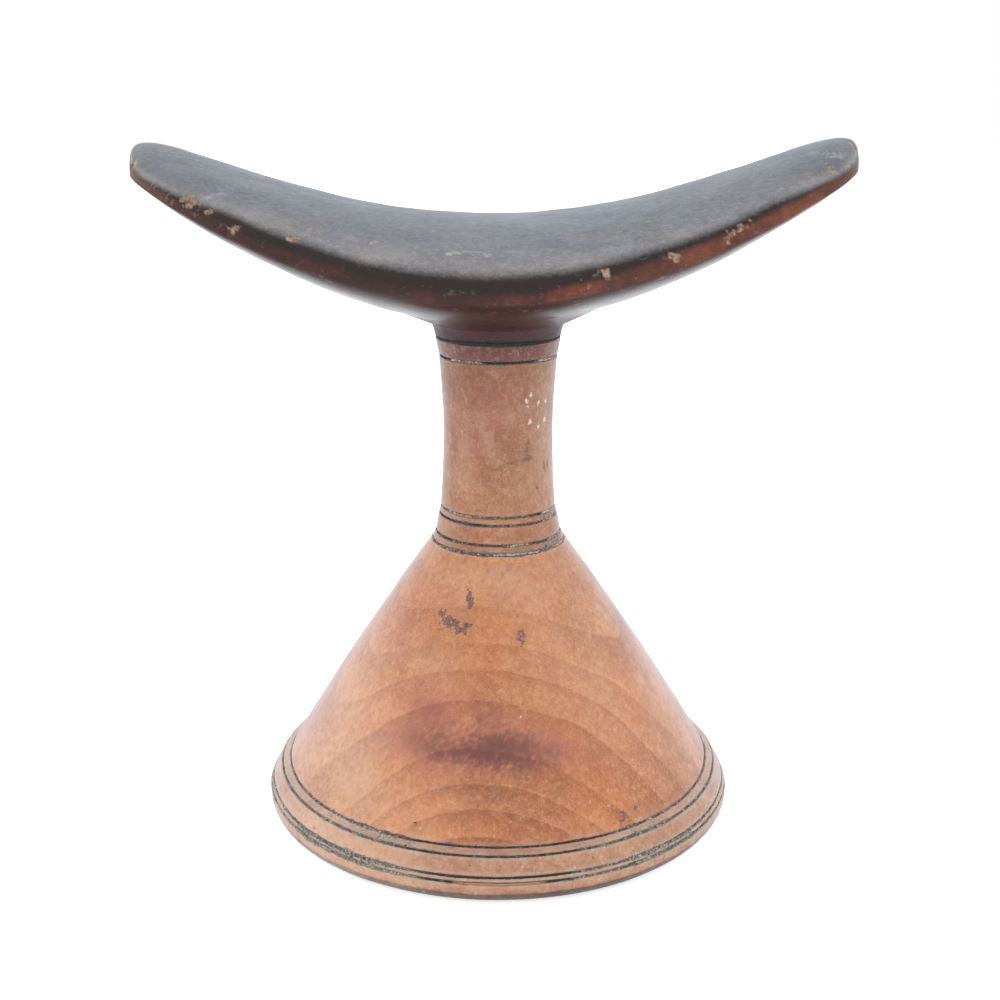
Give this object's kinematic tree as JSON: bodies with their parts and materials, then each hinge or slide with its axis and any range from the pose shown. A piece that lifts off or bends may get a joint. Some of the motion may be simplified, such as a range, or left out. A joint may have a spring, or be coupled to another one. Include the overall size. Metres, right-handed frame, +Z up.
{
  "type": "headrest",
  "caption": "Carved wooden headrest: a crescent-shaped head support on a slim waisted column over a wide conical base, with narrow incised lines round the column ends and the rim.",
  "frame": {"origin": "centre of the flat foot, on the axis of the round column and base", "axes": "+Z up the column's axis, +X along the crescent headplate towards its slightly higher tip, +Y through the headplate's depth, towards its back"},
  "size_m": [0.1588, 0.111, 0.1558],
  "materials": {
    "headplate_wood": "hand-polished dark patina, grey sheen on top, worn to red-brown along the front edge",
    "column_wood": "handled reddish-brown hardwood, satin",
    "base_wood": "orange-tan hardwood with arched grain, polished",
    "rim_wood": "worn tan-brown hardwood with chips and dark patches",
    "line_residue": "matte grey-black dust and old oil packed in the incised lines"
  },
  "bodies": {
    "root": {"headplate": "headplate_wood", "collar": "column_wood", "column": "column_wood", "ankle_ring": "column_wood", "ankle_band": "column_wood", "ankle_foot": "column_wood", "base_cone": "base_wood", "shoulder": "rim_wood", "rim_band": "rim_wood", "rim_bead": "rim_wood", "foot_ring": "rim_wood", "collar_high_fill": "line_residue", "collar_low_fill": "line_residue", "ankle_4_fill": "line_residue", "ankle_3_fill": "line_residue", "ankle_2_fill": "line_residue", "ankle_1_fill": "line_residue", "shoulder_high_fill": "line_residue", "shoulder_low_fill": "line_residue", "rim_high_fill": "line_residue", "rim_low_fill": "line_residue"}
  },
  "joints": []
}
